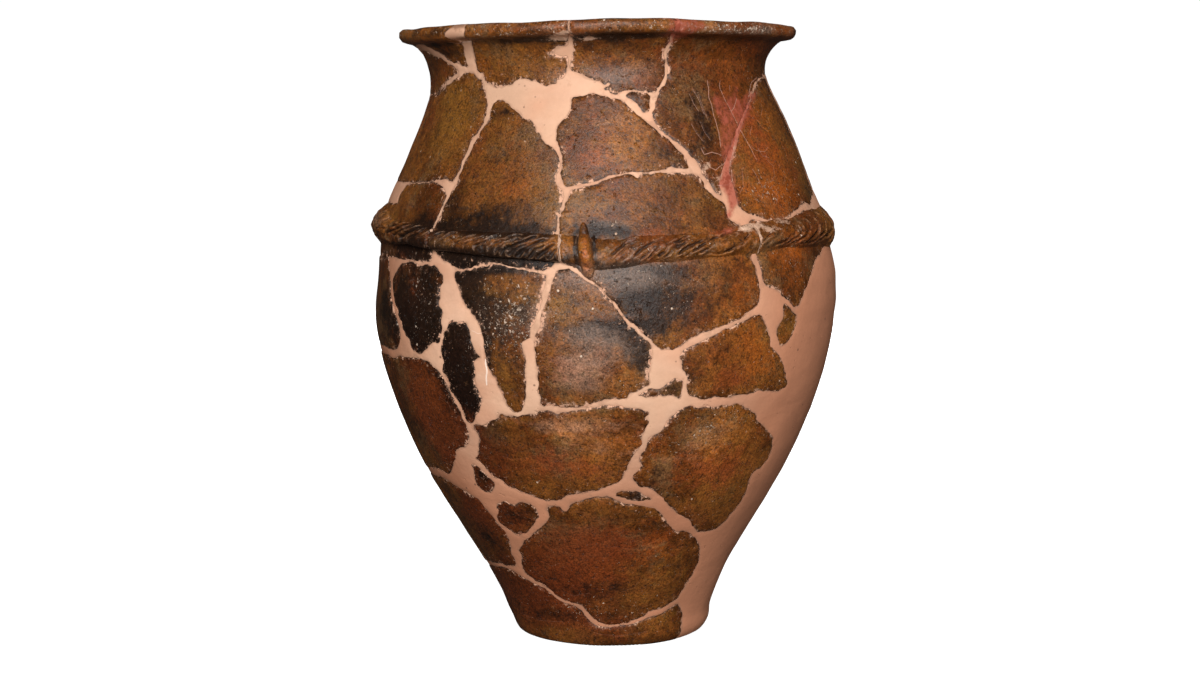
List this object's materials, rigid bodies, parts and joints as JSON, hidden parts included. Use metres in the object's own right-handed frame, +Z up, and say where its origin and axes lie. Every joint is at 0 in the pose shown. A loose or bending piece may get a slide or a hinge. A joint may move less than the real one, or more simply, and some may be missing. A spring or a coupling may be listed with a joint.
{
  "type": "biconical vase",
  "caption": "Restored hand-built biconical pottery vase with a flared lip, an applied twisted cordon at the shoulder and a small flat foot, in fitted sherds and plaster fills.",
  "frame": {"origin": "centre of the bounding box's bottom, on the surface the foot stands on", "axes": "+Z up, along the vase's axis; -Y is the front, with the upright lug; +X is right as seen from the front"},
  "size_m": [0.2072, 0.21, 0.2699],
  "materials": {
    "burnished_pottery": "burnished",
    "restoration_plaster": "matt"
  },
  "bodies": {
    "root": {"base_sherd_back": "burnished_pottery", "base_sherd_front": "burnished_pottery", "belly_chip_centre": "burnished_pottery", "belly_chip_right": "burnished_pottery", "belly_fill_front": "restoration_plaster", "belly_fill_front_left": "restoration_plaster", "belly_fill_left": "restoration_plaster", "belly_fill_right": "restoration_plaster", "belly_sherd_back": "burnished_pottery", "belly_sherd_back_left": "burnished_pottery", "belly_sherd_back_right": "burnished_pottery", "belly_sherd_centre": "burnished_pottery", "belly_sherd_centre_left": "burnished_pottery", "belly_sherd_far_left": "burnished_pottery", "belly_sherd_front": "burnished_pottery", "belly_sherd_left": "burnished_pottery", "belly_sherd_lower_right": "burnished_pottery", "belly_sherd_mid_left": "burnished_pottery", "belly_sherd_right": "burnished_pottery", "bottom_sherd": "burnished_pottery", "cordon_back": "burnished_pottery", "cordon_front": "burnished_pottery", "cordon_front_left": "burnished_pottery", "cordon_front_short": "burnished_pottery", "cordon_left": "burnished_pottery", "cordon_right": "burnished_pottery", "cordon_sherd_left": "burnished_pottery", "floor_disc": "burnished_pottery", "lip_fill_left": "restoration_plaster", "lower_chip_centre": "burnished_pottery", "lower_chip_front": "burnished_pottery", "lower_chip_left": "burnished_pottery", "lower_fill_back": "restoration_plaster", "lower_fill_left": "restoration_plaster", "lower_fill_right": "restoration_plaster", "lower_sherd_back": "burnished_pottery", "lower_sherd_centre": "burnished_pottery", "lower_sherd_far_left": "burnished_pottery", "lower_sherd_left": "burnished_pottery", "lower_sherd_right": "burnished_pottery", "lug_front": "burnished_pottery", "neck_chip": "burnished_pottery", "neck_fill_front": "restoration_plaster", "neck_sherd_left": "burnished_pottery", "rim_sherd_back_left": "burnished_pottery", "rim_sherd_back_right": "burnished_pottery", "rim_sherd_far_left": "burnished_pottery", "rim_sherd_front": "burnished_pottery", "rim_sherd_left": "burnished_pottery", "rim_sherd_right": "burnished_pottery", "shoulder_fill_back_left": "restoration_plaster", "shoulder_fill_back_right": "restoration_plaster", "shoulder_fill_left": "restoration_plaster", "shoulder_fill_right": "restoration_plaster", "shoulder_sherd_back": "burnished_pottery", "shoulder_sherd_back_right": "burnished_pottery", "shoulder_sherd_centre": "burnished_pottery", "shoulder_sherd_centre_left": "burnished_pottery", "shoulder_sherd_left": "burnished_pottery", "shoulder_sherd_right": "burnished_pottery"}
  },
  "joints": []
}
